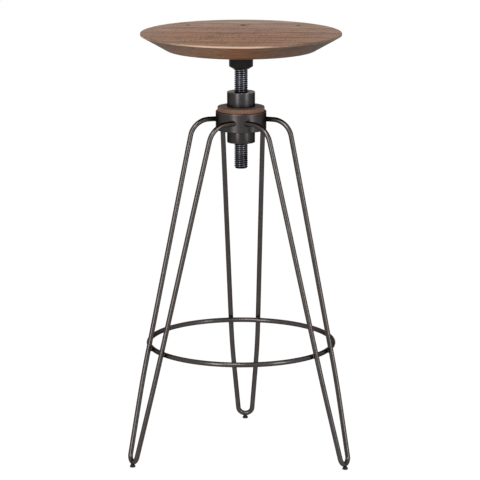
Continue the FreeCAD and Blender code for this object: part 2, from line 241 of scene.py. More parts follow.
@dataclass(frozen=True)
class Finish(ABC):
    """What every finish shares: a name, and a node tree that is made once."""

    name: str

    def material(self) -> bpy.types.Material:
        """Return the finish's material, made the first time that it is asked for."""
        known = bpy.data.materials.get(self.name)
        if known is not None:
            return known
        material = bpy.data.materials.new(self.name)
        material.use_nodes = True
        tree = material.node_tree
        tree.nodes.clear()
        add_node(tree, "OutputMaterial", {"Surface": self.shade(Place(tree))})
        return material

    @abstractmethod
    def shade(self, place: Place) -> Socket:
        """Add the finish's nodes.

        Args:
            place: place on the piece.

        Returns:
            The shader's output socket.
        """


@dataclass(frozen=True)
class DarkSteel(Finish):
    """Mild steel with a dark skin of oxide and wax.

    The eye gets a nearly black satin metal, clouded with brown and grey patches a few
    millimetres wide, whose gloss changes from patch to patch.
    """

    dark: str = "#454241"
    brown: str = "#4a423e"
    grey: str = "#4b4948"
    patch_mm: float = 25.0
    pit_mm: float = 2.5
    pit_depth_mm: float = 0.008
    smoothest: float = 0.24
    roughest: float = 0.29
    metallic: float = 1.0
    reflection: float = 0.5
    edge_tint: str = "#9c9997"

    def colour(self, place: Place, patches: Socket) -> Socket:
        """Add the nodes of the skin's colour.

        Args:
            place: place on the piece.
            patches: patch pattern from 0 to 1.

        Returns:
            The colour's output socket.
        """
        stops = [(0.32, self.brown), (0.5, self.dark), (0.72, self.grey)]
        ramp = add_node(place.tree, "ValToRGB", {"Fac": patches}, stops=stops)
        return ramp.outputs["Color"]

    def shade(self, place: Place) -> Socket:
        """Add the skin's colour, gloss and pits, and return the shader's output socket."""
        tree = place.tree
        patches = place.pattern((self.patch_mm,) * 3, detail=4.0, roughness=0.6)
        pits = place.pattern((self.pit_mm,) * 3, detail=2.0)
        gloss = {"From Min": 0.3, "From Max": 0.7, "To Min": self.smoothest, "To Max": self.roughest}
        roughness = add_node(tree, "MapRange", {"Value": patches, **gloss})
        dents = {"Height": pits, "Strength": 0.5, "Distance": self.pit_depth_mm * METRES_PER_MM}
        bump = add_node(tree, "Bump", dents)
        sockets = {
            "Base Color": self.colour(place, patches),
            "Metallic": self.metallic,
            "Specular IOR Level": self.reflection,
            "Specular Tint": linear(self.edge_tint),
            "Roughness": roughness.outputs["Result"],
            "Normal": bump.outputs["Normal"],
        }
        return add_node(tree, "BsdfPrincipled", sockets).outputs["BSDF"]


@dataclass(frozen=True)
class EdgeWornAndLitSteel(DarkSteel):
    """Dark steel with a pale band on its outermost parts: rubbed wear on the crests of a thread, a painted
    highlight on a nut's upper rim.

    The eye gets a thin light line: on the crests where other parts and hands have polished the skin away,
    on the rim a painted glint.
    """

    measure: Measure = Measure.RADIUS
    edge_wear_and_light: str = "#8f8b87"
    edge_from_mm: float = 12.2
    edge_to_mm: float = 12.6
    edge_share: float = 0.8

    def colour(self, place: Place, patches: Socket) -> Socket:
        """Add the skin's colour, bright beyond a distance from the screw's axis or above a height.

        Args:
            place: place on the piece.
            patches: patch pattern from 0 to 1.

        Returns:
            The colour's output socket.
        """
        skin = super().colour(place, patches)
        reach = place.radius if self.measure is Measure.RADIUS else place.axes["Z"]
        outermost = Share(reach, self.edge_from_mm, self.edge_to_mm, full=self.edge_share)
        return place.laid_over(skin, self.edge_wear_and_light, outermost, Share(patches, 0.35, 0.6))


@dataclass(frozen=True)
class TurnedHubSteel(DarkSteel):
    """Turned steel with a dark patina, rust below the washer and a dark ring round each rod socket.

    The eye gets a warm brown band under the washer, and dark rims where the rods go in.
    """

    rust: str = "#6e4634"
    socket_ring: str = "#171413"
    socket_ring_share: float = 0.85
    top_mm: float = 671.0
    rust_reach_mm: float = 3.0
    socket_height_mm: float = 653.1
    radius_mm: float = 48.25
    socket_half_gap_deg: float = 16.3
    socket_ring_from_mm: float = 4.7
    socket_ring_to_mm: float = 6.6

    def socket_distance(self, place: Place) -> Socket:
        """Add the nodes of the distance along the surface to the nearest rod socket.

        Args:
            place: place on the hub.

        Returns:
            Output socket with the distance.
        """
        tree, axes = place.tree, place.axes
        turn = add_node(tree, "Math", {0: axes["Y"], 1: axes["X"]}, operation="ARCTAN2")
        along = turn.outputs["Value"]
        # A pair of sockets stands at each side of -90, 30 and 150 degrees
        steps = (
            ("ADD", math.radians(90)),
            ("PINGPONG", math.radians(60)),
            ("SUBTRACT", math.radians(self.socket_half_gap_deg)),
            ("MULTIPLY", self.radius_mm),
        )
        for operation, number in steps:
            numbers = {0: along, 1: number}
            along = add_node(tree, "Math", numbers, operation=operation).outputs["Value"]
        below = {0: axes["Z"], 1: self.socket_height_mm}
        above = add_node(tree, "Math", below, operation="SUBTRACT").outputs["Value"]
        return place.length(along, above)

    def colour(self, place: Place, patches: Socket) -> Socket:
        """Add the patina, the rust below the washer and the dark ring round each socket.

        Args:
            place: place on the hub.
            patches: patch pattern from 0 to 1.

        Returns:
            The colour's output socket.
        """
        skin = super().colour(place, patches)
        near_top = Share(place.axes["Z"], self.top_mm - self.rust_reach_mm, self.top_mm, smooth=True)
        rusted = place.laid_over(skin, self.rust, near_top, Share(patches, 0.3, 0.55))
        # A dark ring round each rod socket, where the rods meet the hub
        away = self.socket_distance(place)
        near_socket = Share(away, self.socket_ring_to_mm, self.socket_ring_from_mm, full=self.socket_ring_share)
        return place.laid_over(rusted, self.socket_ring, near_socket)


@dataclass(frozen=True)
class DullCoating(DarkSteel):
    """Non-metal skin: paint, rubber or thick rust, matt or satin.

    The eye gets a body colour with faint blotches and hardly any reflection.
    """

    metallic: float = 0.0
    reflection: float = 0.2
    edge_tint: str = "#ffffff"
    smoothest: float = 0.55
    roughest: float = 0.8


@dataclass(frozen=True)
class OldPlank(Finish):
    """Reclaimed sawn board, turned, bevelled and oiled.

    The eye gets long streaks of tan, pink and grey along the board, dark grain lines, short
    saw marks across it, dirt in the joints, a grey weathered border, a painted sheen on the
    rear boards, painted shade on the bevel and on the rim's far right, and a pale rim that is
    partly rubbed wear and partly a painted highlight.
    """

    rear_joint_mm: float
    front_joint_mm: float
    shift: float
    # The board's own tone, with a painted sheen that lightens the rear boards
    tone_and_sheen: str
    saw_marks: float
    radius_mm: float = 190.5
    top_mm: float = 819.8
    rim_mm: float = 3.6
    roughness: float = 0.62
    reflection: float = 0.12
    grain_depth_mm: float = 0.3
    dark_streak: str = "#6f6157"
    streak: str = "#cdbfab"
    pink_streak: str = "#e2c8c2"
    pale_streak: str = "#fdf5ec"
    grey: str = "#94857b"
    # Dirt in the joints and round the nails, also used for painted shade on the rim's far right and for the
    # darker line along the top's front border
    dirt_and_shade: str = "#4a352a"
    saw_dirt: str = "#543a28"
    # Pale rim: partly rubbed wear, partly a painted highlight
    worn: str = "#a98c76"
    streak_mm: float = 12.0
    streak_length_mm: float = 85.0
    line_mm: float = 3.0
    line_length_mm: float = 90.0
    saw_mark_mm: float = 4.5
    saw_length_mm: float = 22.0
    saw_patch_mm: float = 16.0
    weather_patch_mm: float = 55.0
    weather_start: float = 0.62
    joint_dirt_mm: float = 3.2
    joint_patch_mm: float = 40.0
    nail_row_mm: float = 105.0
    nail_spacing_mm: float = 106.0
    stain_mm: float = 6.0
    stain_core_mm: float = 2.5
    stain_depth: float = 0.6
    bevel_reach_mm: float = 160.0
    # Multiplied over the bevel from left to right: grey end grain at the sides, warm grain in front, and
    # painted shade, darkest at the right
    bevel_grain_and_shade_stops: tuple[tuple[float, str], ...] = (
        (0.0, "#8f9092"),
        (0.25, "#cbc4c0"),
        (0.5, "#c6b39e"),
        (0.72, "#a39c9b"),
        (1.0, "#6d6b6c"),
    )

    def shade(self, place: Place) -> Socket:
        """Add the board's colour, gloss and grain, and return the shader's output socket."""
        tree = place.tree
        line_sizes = (self.line_length_mm, self.line_mm, self.line_mm)
        lines = place.pattern(line_sizes, detail=3.0, roughness=0.62, distortion=0.15, shift=self.shift)
        depths = {"Value": lines, "From Min": 0.3, "From Max": 0.62, "To Min": 0.35, "To Max": 1.12}
        lined = add_node(tree, "MapRange", depths).outputs["Result"]
        wood = place.laid_over(self.streaks(place), lined, blend="MULTIPLY")
        flat_top = Share(place.axes["Z"], self.top_mm - 1.9, self.top_mm - 1.4)
        wood = self.saw_marked(place, wood, flat_top)
        wood = self.weathered(place, wood)
        wood = self.jointed(place, wood, flat_top)
        wood = self.stained(place, wood)
        wood = self.bevelled(place, wood)
        wood = self.edge_wear_and_light(place, wood)
        furrows = {"Height": lines, "Strength": 0.6, "Distance": self.grain_depth_mm * METRES_PER_MM}
        bump = add_node(tree, "Bump", furrows)
        sockets = {
            "Base Color": wood,
            "Roughness": self.roughness,
            "Specular IOR Level": self.reflection,
            "Normal": bump.outputs["Normal"],
        }
        return add_node(tree, "BsdfPrincipled", sockets).outputs["BSDF"]

    def streaks(self, place: Place) -> Socket:
        """Return the colour of the broad streaks, with the board's own tone and a painted sheen."""
        sizes = (self.streak_length_mm, self.streak_mm, self.streak_mm)
        pattern = place.pattern(sizes, detail=4.0, roughness=0.58, distortion=0.3, shift=self.shift)
        stops = [
            (0.3, self.dark_streak),
            (0.42, self.streak),
            (0.52, self.pink_streak),
            (0.62, self.streak),
            (0.74, self.pale_streak),
        ]
        colour = add_node(place.tree, "ValToRGB", {"Fac": pattern}, stops=stops)
        return place.laid_over(colour.outputs["Color"], self.tone_and_sheen, blend="MULTIPLY")

    def saw_marked(self, place: Place, wood: Socket, flat_top: Share) -> Socket:
        """Add short dark marks that the saw left across the board.

        Args:
            place: place on the board.
            wood: colour so far.
            flat_top: share of the flat top.

        Returns:
            The colour's output socket.
        """
        # The marks go straight down into the board
        mark_sizes = (self.saw_mark_mm, self.saw_length_mm, math.inf)
        marks = place.pattern(mark_sizes, detail=1.0, shift=self.shift)
        patches = place.pattern((self.saw_patch_mm,) * 3, detail=3.0, roughness=0.7)
        ridges = Share(marks, 0.5, 0.68)
        spread = Share(patches, 0.38, 0.52, full=self.saw_marks)
        return place.laid_over(wood, self.saw_dirt, ridges, spread, flat_top)

    def weathered(self, place: Place, wood: Socket) -> Socket:
        """Turn the border of the seat grey, in patches.

        Args:
            place: place on the board.
            wood: colour so far.

        Returns:
            The colour's output socket.
        """
        patches = place.pattern((self.weather_patch_mm,) * 3, detail=3.0, roughness=0.6)
        start = self.weather_start * self.radius_mm
        border = Share(place.radius, start, self.radius_mm, full=0.5, smooth=True)
        return place.laid_over(wood, self.grey, border, Share(patches, 0.0, 1.0))

    def bevelled(self, place: Place, wood: Socket) -> Socket:
        """Darken the turned bevel with painted shade that deepens towards the right, tinted warm along the
        grain in front and grey where end grain shows.

        Args:
            place: place on the board.
            wood: colour so far.

        Returns:
            The colour's output socket.
        """
        width = {"From Min": -self.bevel_reach_mm, "From Max": self.bevel_reach_mm}
        across = add_node(place.tree, "MapRange", {"Value": place.axes["X"], **width})
        position = {"Fac": across.outputs["Result"]}
        shade = add_node(place.tree, "ValToRGB", position, stops=self.bevel_grain_and_shade_stops).outputs["Color"]
        edge = self.top_mm - self.rim_mm
        on_bevel = Share(place.axes["Z"], edge + 0.3, edge - 0.8)
        return place.laid_over(wood, shade, on_bevel, blend="MULTIPLY")

    def stained(self, place: Place, wood: Socket) -> Socket:
        """Add the dark iron stain round each old nail of the nail row.

        Args:
            place: place on the board.
            wood: colour so far.

        Returns:
            The colour's output socket.
        """
        # Nails stand at the middle and one spacing to each side of it
        folded = {0: place.axes["X"], 1: self.nail_spacing_mm / 2}
        across = add_node(place.tree, "Math", folded, operation="PINGPONG").outputs["Value"]
        from_row = {0: place.axes["Y"], 1: self.stain_depth, 2: -self.stain_depth * self.nail_row_mm}
        back = add_node(place.tree, "Math", from_row, operation="MULTIPLY_ADD")
        away = place.length(across, back.outputs["Value"])
        near = Share(away, self.stain_mm, self.stain_core_mm, smooth=True)
        return place.laid_over(wood, self.dirt_and_shade, near)

    def jointed(self, place: Place, wood: Socket, flat_top: Share) -> Socket:
        """Add dirt along the two joints, drawn wider than real so that it shows from afar.

        Args:
            place: place on the board.
            wood: colour so far.
            flat_top: share of the flat top.

        Returns:
            The colour's output socket.
        """
        patches = place.pattern((self.joint_patch_mm,) * 3, detail=4.0)
        uneven = Share(patches, 0.35, 0.6, none=0.45)
        for joint_mm in (self.rear_joint_mm, self.front_joint_mm):
            away = place.axes["Y"]
            for operation, number in (("SUBTRACT", joint_mm), ("ABSOLUTE", 0.0)):
                numbers = {0: away, 1: number}
                away = add_node(place.tree, "Math", numbers, operation=operation).outputs["Value"]
            near = Share(away, self.joint_dirt_mm, 0.2 * self.joint_dirt_mm, smooth=True)
            wood = place.laid_over(wood, self.dirt_and_shade, near, uneven, flat_top)
        return wood

    def edge_wear_and_light(self, place: Place, wood: Socket) -> Socket:
        """Paint a highlight over pale wear on the rim from the left round to the front, shade on the rim's
        far right, and a darker line along the top's front border.

        Args:
            place: place on the board.
            wood: colour so far.

        Returns:
            The colour's output socket.
        """
        across, back, height = (place.axes[name] for name in "XYZ")
        edge = self.top_mm - self.rim_mm
        # Each share goes from none at the first place to full at the second
        in_front = (back, -60.0, -120.0)
        on_border = (place.radius, self.radius_mm - 5.0, self.radius_mm - 2.0)
        on_rim = (place.radius, self.radius_mm - 1.3, self.radius_mm - 0.9)
        above_bevel = (height, edge - 0.6, edge + 0.2)
        from_left = (across, -160.0, -60.0)
        from_right = (across, 80.0, 35.0)
        far_right = (across, 90.0, 130.0)
        # Darker line along the top's front border; painted shade on the rim's far right; painted highlight
        # over rubbed wear on the rim, from the left round to the front
        layers = (
            (self.dirt_and_shade, 0.4, (in_front, on_border)),
            (self.dirt_and_shade, 0.5, (on_rim, above_bevel, far_right)),
            (self.worn, 0.9, (in_front, on_rim, above_bevel, from_left, from_right)),
        )
        for colour, strength, (first, *others) in layers:
            shares = [Share(*first, full=strength, smooth=True)]
            shares += [Share(*other, smooth=True) for other in others]
            wood = place.laid_over(wood, colour, *shares)
        return wood


# Shapes


def whole(shape: Shape) -> list[Any]:
    """Return every corner, edge and face of a shape."""
    return list(shape.verts) + list(shape.edges) + list(shape.faces)


def only(kind: type, items: list[Any]) -> list[Any]:
    """Return the items of one kind, such as the edges."""
    return [item for item in items if isinstance(item, kind)]


def cut(shape: Shape, place: Triple, facing: Triple, remove: bool = True) -> None:
    """Cut a shape along a plane.

    Args:
        shape: the shape, which is changed.
        place: a point of the plane.
        facing: the direction that the plane faces.
        remove: whether what lies in front of the plane goes; if not, the cut only adds edges.
    """
    made = bmesh.ops.bisect_plane(
        shape, geom=whole(shape), plane_co=place, plane_no=facing, clear_outer=remove
    )["geom_cut"]
    if remove:
        bmesh.ops.holes_fill(shape, edges=only(bmesh.types.BMEdge, made), sides=0)


def turned(outline: list[Pair], steps: int) -> Shape:
    """Turn an outline of radius and height about the z axis.

    Args:
        outline: corners of the outline, closed on itself unless it starts and ends on the axis.
        steps: number of sides of the turned shape.

    Returns:
        The turned shape, in the outline's units.
    """
    shape = bmesh.new()
    corners = [shape.verts.new((radius, 0.0, height)) for radius, height in outline]
    on_axis = outline[0][0] == 0.0 and outline[-1][0] == 0.0
    following = corners[1:] if on_axis else corners[1:] + corners[:1]
    edges = [shape.edges.new(pair) for pair in zip(corners, following)]
    full_turn = {"cent": (0, 0, 0), "axis": (0, 0, 1), "angle": math.tau, "use_merge": True}
    bmesh.ops.spin(shape, geom=corners + edges, steps=steps, **full_turn)
    bmesh.ops.remove_doubles(shape, verts=shape.verts, dist=0.001)
    return shape


def divided(outline: list[Pair], longest: float) -> list[Pair]:
    """Add corners to an outline until no side is longer than a given length.

    Args:
        outline: corners of radius and height, in order.
        longest: longest side allowed.

    Returns:
        The outline with its added corners.
    """
    corners = [outline[0]]
    for start, end in zip(outline, outline[1:]):
        count = max(1, math.ceil(math.dist(start, end) / longest))
        for step in range(1, count + 1):
            share = step / count
            corners.append(tuple(a + (b - a) * share for a, b in zip(start, end)))
    return corners


def quarter_round(
    centre: Pair, radius: float, start_deg: float, end_deg: float, steps: int = 4
) -> list[Pair]:
    """Return points along an arc of an outline.

    Args:
        centre: radius and height of the arc's centre.
        radius: the arc's own radius.
        start_deg: direction of the first point, 0 being outwards and 90 up.
        end_deg: direction of the last point.
        steps: number of straight pieces.

    Returns:
        The points in order.
    """
    turns = [math.radians(start_deg + (end_deg - start_deg) * step / steps) for step in range(steps + 1)]
    return [(centre[0] + radius * math.cos(turn), centre[1] + radius * math.sin(turn)) for turn in turns]


class RodDrawer:
    """Draws a round bar: a disc that is pushed along straight runs and spun round bends."""

    def __init__(self, start: Vector, heading: Vector, diameter: float, sides: int = 28) -> None:
        """Start a bar.

        Args:
            start: centre of the bar's first end.
            heading: direction in which the bar goes.
            diameter: the bar's diameter.
            sides: sides of its round section.
        """
        self.shape = bmesh.new()
        self.place = start.copy()
        self.heading = heading.normalized()
        facing = Matrix.Translation(start) @ self.heading.to_track_quat("Z", "Y").to_matrix().to_4x4()
        bmesh.ops.create_circle(
            self.shape, cap_ends=True, segments=sides, radius=diameter / 2, matrix=facing
        )
        self.rim = list(self.shape.edges)

    def run(self, end: Vector) -> None:
        """Push the bar straight on to a point."""
        pushed = bmesh.ops.extrude_edge_only(self.shape, edges=self.rim)["geom"]
        corners = only(bmesh.types.BMVert, pushed)
        bmesh.ops.translate(self.shape, verts=corners, vec=end - self.place)
        edges = only(bmesh.types.BMEdge, pushed)
        self.rim = [edge for edge in edges if set(edge.verts) <= set(corners)]
        self.place = end.copy()

    def bend(self, ahead: Vector, radius: float, step_deg: float) -> None:
        """Bend the bar to a new direction.

        Args:
            ahead: direction after the bend.
            radius: bend radius of the centre line.
            step_deg: turn of one step of the bend.
        """
        axis = self.heading.cross(ahead).normalized()
        centre = self.place + axis.cross(self.heading) * radius
        angle = self.heading.angle(ahead)
        spun = bmesh.ops.spin(
            self.shape,
            geom=self.rim + list({corner for edge in self.rim for corner in edge.verts}),
            cent=centre,
            axis=axis,
            angle=angle,
            steps=max(2, math.ceil(math.degrees(angle) / step_deg)),
        )["geom_last"]
        self.rim = only(bmesh.types.BMEdge, spun)
        turn = Matrix.Rotation(angle, 3, axis)
        self.place = centre + turn @ (self.place - centre)
        self.heading = turn @ self.heading

    def corner(self, corner: Vector, towards: Vector, radius: float, step_deg: float) -> None:
        """Run up to a corner and bend round it.

        Args:
            corner: where the two straight runs would meet.
            towards: a point on the run after the corner.
            radius: bend radius of the centre line.
            step_deg: turn of one step of the bend.
        """
        ahead = (towards - corner).normalized()
        tangent = radius * math.tan(self.heading.angle(ahead) / 2)
        self.run(corner - self.heading * tangent)
        self.bend(ahead, radius, step_deg)


def put_in_scene(name: str, data: bpy.types.ID) -> bpy.types.Object:
    """Put a mesh, a lamp or a camera in the scene.

    Args:
        name: name of its object.
        data: the mesh, lamp or camera.

    Returns:
        The object.
    """
    thing = bpy.data.objects.new(name, data)
    bpy.context.scene.collection.objects.link(thing)
    return thing


@dataclass(frozen=True)
class Piece:
    """How a finished mesh joins the stool: its name, its body and the node it stands for, with the record's
    slot kept beside them.
    """

    name: str
    body: Body
    slot: Slot
    stands_for: str

    def finish(self, shape: Shape, finish: Finish, crease_deg: float = 35.0) -> None:
        """Turn a shape in millimetres into a dressed piece in metres.

        Args:
            shape: the shape, which is freed.
            finish: finish of the whole piece.
            crease_deg: edges sharper than this stay crisp.
        """
        bmesh.ops.scale(shape, vec=(METRES_PER_MM,) * 3, verts=shape.verts)
        bmesh.ops.recalc_face_normals(shape, faces=shape.faces)
        mesh = bpy.data.meshes.new(self.name)
        shape.to_mesh(mesh)
        shape.free()
        mesh.shade_smooth()
        mesh.set_sharp_from_angle(angle=math.radians(crease_deg))
        mesh.materials.append(finish.material())
        piece = put_in_scene(self.name, mesh)
        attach(piece, self.body.value)
        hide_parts(self.stands_for)
        log.info("%s: %d faces", self.name, len(mesh.polygons))


def dress_node(node: str, finish: Finish) -> None:
    """Give a CAD node whose shape is right its finish."""
    materials = frame["nodes"][node].data.materials
    materials.clear()
    materials.append(finish.material())
    log.info("%s: dressed with %s", node, finish.name)


# Studio


@dataclass
class PhotoCamera:
    """Camera at the photograph's viewpoint: a long lens, a little above the seat."""

    lens_mm: float = 203.63
    sensor_mm: float = 36.0
    place: Triple = (0.1892, -5.0838, 1.50904)
    look_down: float = 0.21095
    look_left: float = 0.03759

    def build(self) -> None:
        """Make the camera and set it as the scene's own."""
        camera = bpy.data.cameras.new("photo_camera")
        camera.lens = self.lens_mm
        camera.sensor_width = self.sensor_mm
        stand = put_in_scene("photo_camera", camera)
        stand.location = self.place
        stand.rotation_euler = (math.pi / 2 - self.look_down, 0.0, self.look_left)
        bpy.context.scene.camera = stand


@dataclass(frozen=True)
class Softbox:
    """Rectangular studio lamp aimed at a point of the stool."""

    name: str
    place: Triple
    aim: Triple
    width: float
    height: float
    watts: float

    def build(self) -> None:
        """Make the lamp, which no camera sees."""
        lamp = bpy.data.lights.new(self.name, "AREA")
        lamp.shape = "RECTANGLE"
        lamp.size = self.width
        lamp.size_y = self.height
        lamp.energy = self.watts
        stand = put_in_scene(self.name, lamp)
        stand.location = self.place
        away = Vector(self.place) - Vector(self.aim)
        stand.rotation_euler = away.to_track_quat("Z", "Y").to_euler()
        stand.visible_camera = False


@dataclass
class Studio:
    """White sweep, soft lamps and pale surroundings."""

    floor_size: float = 24.0
    floor_colour: str = "#e8e8e6"
    floor_glow: float = 0.9
    glow_strength: float = 1.07
    surround: float = 0.42
    lamps: tuple[Softbox, ...] = (
        Softbox("left_strip", (-1.3, -2.5, 1.0), (0.0, 0.0, 0.5), 0.55, 1.9, 44.0),
        Softbox("right_strip", (2.1, -1.8, 1.0), (0.0, 0.0, 0.5), 0.5, 1.9, 36.0),
        Softbox("high_softbox", (-0.3, -2.1, 2.3), (0.0, 0.0, 0.75), 0.8, 0.8, 36.0),
    )

    def build(self) -> None:
        """Light the stool and lay the floor."""
        bpy.context.scene.view_settings.view_transform = "Standard"
        self.build_surroundings()
        self.build_floor()
        for lamp in self.lamps:
            lamp.build()
        log.info("studio: %d lamps", len(self.lamps))

    def background_share(self, tree: Tree) -> Socket:
        """Return 1 for rays that should meet the white background, and 0 for the light on the stool."""
        rays = add_node(tree, "LightPath").outputs
        share = rays["Is Camera Ray"]
        for kind in ("Is Glossy Ray", "Is Transmission Ray"):
            share = add_node(tree, "Math", {0: share, 1: rays[kind]}, operation="MAXIMUM").outputs["Value"]
        return share

    def build_surroundings(self) -> None:
        """Make the world: white where it is seen, and softer where it lights the stool."""
        world = bpy.data.worlds.new("pale_studio")
        world.use_nodes = True
        tree = world.node_tree
        tree.nodes.clear()
        seen = {"Value": self.background_share(tree), "To Min": self.surround, "To Max": 1.0}
        strength = add_node(tree, "MapRange", seen).outputs["Result"]
        white = {"Color": linear("#ffffff"), "Strength": strength}
        glow = add_node(tree, "Background", white)
        add_node(tree, "OutputWorld", {"Surface": glow.outputs["Background"]})
        bpy.context.scene.world = world

    def build_floor(self) -> None:
        """Lay the pale floor, which keeps the stool's soft shadow."""
        material = bpy.data.materials.new("pale_floor")
        material.use_nodes = True
        tree = material.node_tree
        tree.nodes.clear()
        paint = add_node(tree, "BsdfDiffuse", {"Color": linear(self.floor_colour)})
        glow = add_node(tree, "Emission", {"Strength": self.glow_strength})
        factors = {0: self.background_share(tree), 1: self.floor_glow}
        share = add_node(tree, "Math", factors, operation="MULTIPLY").outputs["Value"]
        mixed = {0: share, 1: paint.outputs["BSDF"], 2: glow.outputs["Emission"]}
        surface = add_node(tree, "MixShader", mixed)
        add_node(tree, "OutputMaterial", {"Surface": surface.outputs["Shader"]})
        shape = bmesh.new()
        bmesh.ops.create_grid(shape, x_segments=1, y_segments=1, size=self.floor_size / 2)
        mesh = bpy.data.meshes.new("pale_floor")
        shape.to_mesh(mesh)
        shape.free()
        mesh.materials.append(material)
        put_in_scene("pale_floor", mesh)


# Sub-assemblies


@dataclass
class RodFrame:
    """Hairpin legs, foot ring, weld beads and glides."""

    rod_diameter: float = 9.5
    hub_diameter: float = 96.5
    rod_height: float = 653.1
    socket_angle: float = 43.7
    socket_depth: float = 8.0
    shoulder_reach: float = 80.7
    shoulder_spread: float = 39.6
    shoulder_bend: float = 38.0
    bow_height: float = 165.0
    bow_reach: float = 198.6
    bow_spread: float = 25.5
    bow_bend: float = 1700.0
    foot_reach: float = 234.0
    foot_bend: float = 14.0
    ring_height: float = 219.0
    ring_diameter: float = 355.1
    ring_steps: int = 216
    weld_size: float = 9.0
    glide_diameter: float = 11.0
    glide_height: float = 5.5
    glide_edge: float = 1.4
    glide_neck: float = 6.0

    directions = {"left": -150.0, "right": -30.0, "back": 90.0}
    bar = DarkSteel("waxed_hot_rolled_bar")
    bead = DarkSteel("weld_bead", dark="#2c2827", brown="#3c322d", grey="#6a6663", patch_mm=3.0)
    rubber = DullCoating("black_glide_rubber", dark="#191817", brown="#1e1b1a", grey="#232221")

    def build(self) -> None:
        """Build and dress every piece of the frame."""
        for name, direction in self.directions.items():
            swing = Matrix.Rotation(math.radians(direction), 3, "Z")
            leg = self.hairpin()
            bmesh.ops.rotate(leg, verts=leg.verts, cent=(0, 0, 0), matrix=swing)
            Piece(f"hairpin_{name}", Body.BASE, Slot.ROD_STEEL, f"leg_{name}").finish(leg, self.bar)
            glide = self.glide()
            bmesh.ops.translate(glide, verts=glide.verts, vec=(self.foot_reach, 0, 0))
            bmesh.ops.rotate(glide, verts=glide.verts, cent=(0, 0, 0), matrix=swing)
            rubber_foot = Piece(f"rubber_foot_{name}", Body.BASE, Slot.GLIDE_RUBBER, f"glide_{name}")
            rubber_foot.finish(glide, self.rubber)
        Piece("rod_ring", Body.BASE, Slot.ROD_STEEL, "foot_ring").finish(self.ring(), self.bar)
        beads = Piece("weld_beads", Body.BASE, Slot.ROD_STEEL, "ring_welds")
        beads.finish(self.beads(), self.bead, crease_deg=80)

    def corners(self) -> tuple[Vector, Vector]:
        """Return the corners of a leg's path at its shoulder and at its bow."""
        shoulder = Vector((self.shoulder_reach, self.shoulder_spread, self.rod_height))
        return shoulder, Vector((self.bow_reach, self.bow_spread, self.bow_height))

    def hairpin(self) -> Shape:
        """Return a hairpin leg whose foot points along +X: half is drawn, then mirrored."""
        angle = math.radians(self.socket_angle)
        mouth = Vector((math.cos(angle), math.sin(angle), 0)) * (self.hub_diameter / 2)
        mouth.z = self.rod_height
        shoulder, bow = self.corners()
        outwards = (shoulder - mouth).normalized()
        foot = Vector((self.foot_reach, 0, self.glide_height + self.rod_diameter / 2))
        rise = (Vector((bow.x, 0, bow.z)) - foot).normalized()
        centre = foot + rise * self.foot_bend
        up_to_bow = (bow - centre).dot(rise)
        turn = math.atan2(up_to_bow, bow.y) - math.acos(self.foot_bend / math.hypot(bow.y, up_to_bow))
        touch = centre + (Vector((0, 1, 0)) * math.cos(turn) + rise * math.sin(turn)) * self.foot_bend
        rod = RodDrawer(mouth - outwards * self.socket_depth, outwards, self.rod_diameter)
        rod.corner(shoulder, bow, self.shoulder_bend, step_deg=4)
        rod.corner(bow, touch, self.bow_bend, step_deg=0.5)
        rod.run(touch)
        rod.bend(Vector((0, -1, 0)), self.foot_bend, step_deg=6)
        half = rod.shape
        bmesh.ops.mirror(half, geom=whole(half), matrix=Matrix.Identity(4), merge_dist=0.01, axis="Y")
        return half

    def ring(self) -> Shape:
        """Return the foot ring, spun whole."""
        start = Vector((self.ring_diameter / 2, 0, self.ring_height))
        rod = RodDrawer(start, Vector((0, 1, 0)), self.rod_diameter)
        bmesh.ops.delete(rod.shape, geom=list(rod.shape.faces), context="FACES_ONLY")
        full_turn = {"cent": (0, 0, 0), "axis": (0, 0, 1), "angle": math.tau, "use_merge": True}
        bmesh.ops.spin(rod.shape, geom=whole(rod.shape), steps=self.ring_steps, **full_turn)
        return rod.shape

    def beads(self) -> Shape:
        """Return the six weld beads, each a rippled lump between the ring and a rod."""
        shape = bmesh.new()
        shoulder, bow = self.corners()
        along = (shoulder - bow).normalized()
        crossing = bow + along * ((self.ring_height - bow.z) / along.z)
        outwards = Vector((crossing.x, crossing.y, 0)).normalized()
        between = along.cross(Vector((-outwards.y, outwards.x, 0))).normalized()
        between *= math.copysign(1.0, between.dot(outwards))
        ring_centre = outwards * (self.ring_diameter / 2) + Vector((0, 0, self.ring_height))
        contact = ring_centre + between * (self.rod_diameter / 2)
        for direction in self.directions.values():
            for side in (1, -1):
                lump = bmesh.ops.create_icosphere(shape, subdivisions=4, radius=self.weld_size / 2)
                swing = Matrix.Rotation(math.radians(direction), 3, "Z")
                place = swing @ Vector((contact.x, side * contact.y, contact.z))
                for corner in lump["verts"]:
                    ripple = 1 + 0.05 * math.sin(corner.co.z * 3.6)
                    lumpy = 1 + 0.16 * noise.noise(corner.co * 0.28 + place)
                    corner.co = place + corner.co * ripple * lumpy
        return shape

    def glide(self) -> Shape:
        """Return a flared glide that stands under the origin's rod, its neck let into the bar."""
        foot, neck = self.glide_diameter / 2, self.glide_neck / 2
        hollow = quarter_round((foot, self.glide_height + 1.0), foot - neck, 250, 190, 6)
        outline = [(0.0, 0.0), (foot - 0.5, 0.0), (foot, 0.5), (foot, self.glide_edge)]
        outline += [corner for corner in hollow if corner[1] > self.glide_edge + 0.3]
        outline += [(neck, self.glide_height + 1.5), (0.0, self.glide_height + 1.5)]
        return turned(outline, 40)


